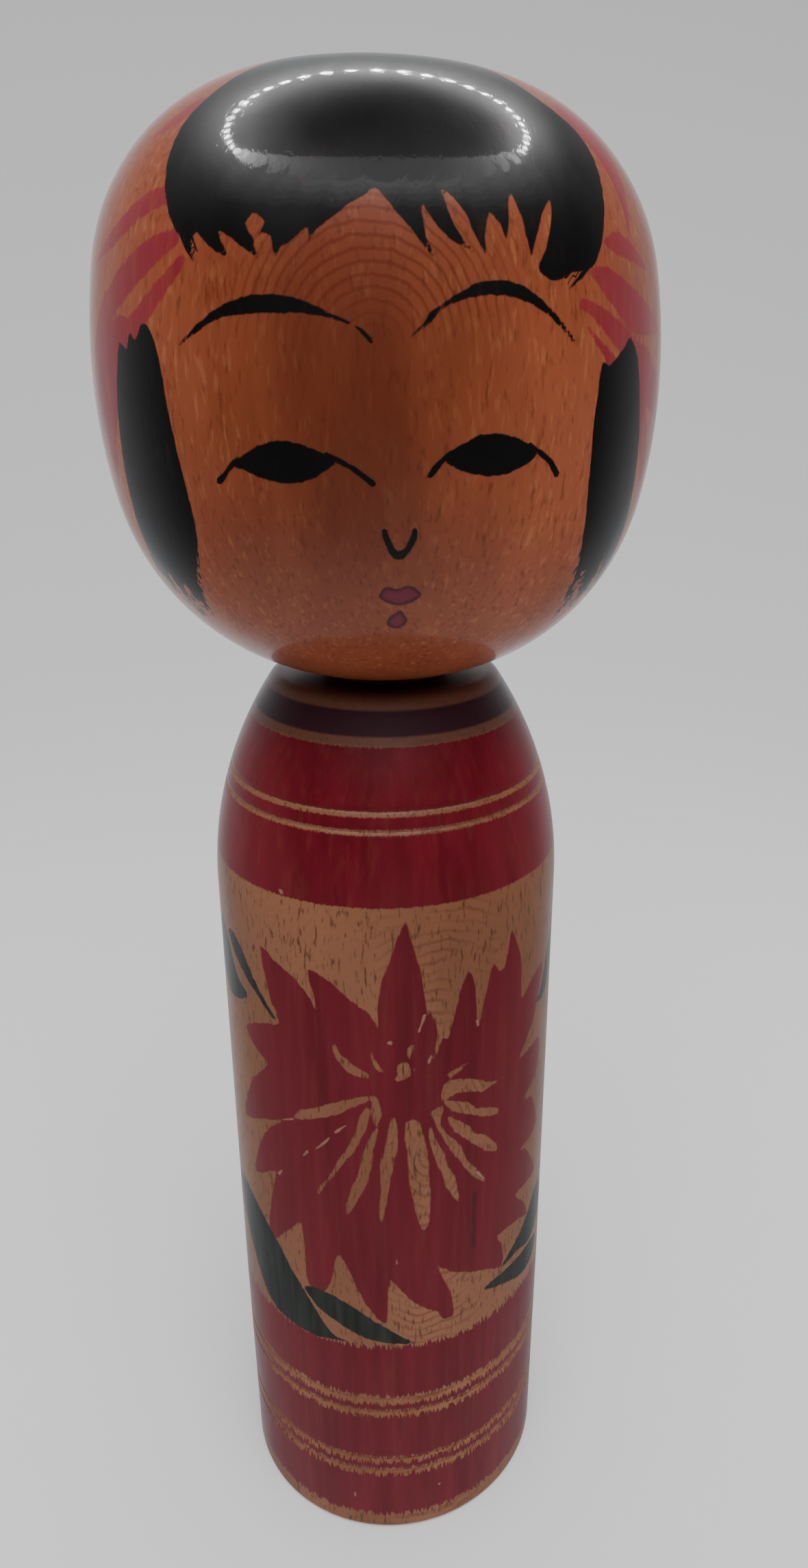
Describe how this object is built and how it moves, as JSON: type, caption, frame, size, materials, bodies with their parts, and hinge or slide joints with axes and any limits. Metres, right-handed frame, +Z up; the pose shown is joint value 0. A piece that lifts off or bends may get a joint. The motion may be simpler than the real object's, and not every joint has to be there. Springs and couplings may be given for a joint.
{
  "type": "kokeshi doll",
  "caption": "Turned wooden kokeshi doll: a straight cylinder body with rounded shoulders and a large rounded head that turns on a tenon at the neck.",
  "frame": {"origin": "centre of the flat base, on the doll's axis", "axes": "+Z up along the doll's axis, front of the doll towards -Y"},
  "size_m": [0.06, 0.06, 0.182],
  "materials": {
    "body": "turned light wood, painted red at foot and shoulder, waxed",
    "head": "turned wood darkened with age, painted hair and face, glossy wax"
  },
  "bodies": {
    "body": {"body": "body"},
    "head": {"head": "head"}
  },
  "joints": [
    {"name": "head_turn", "type": "hinge", "parent": "body", "child": "head", "pos_m": [0, 0, 0.1207], "axis": [0, 0, 1], "continuous": true}
  ]
}
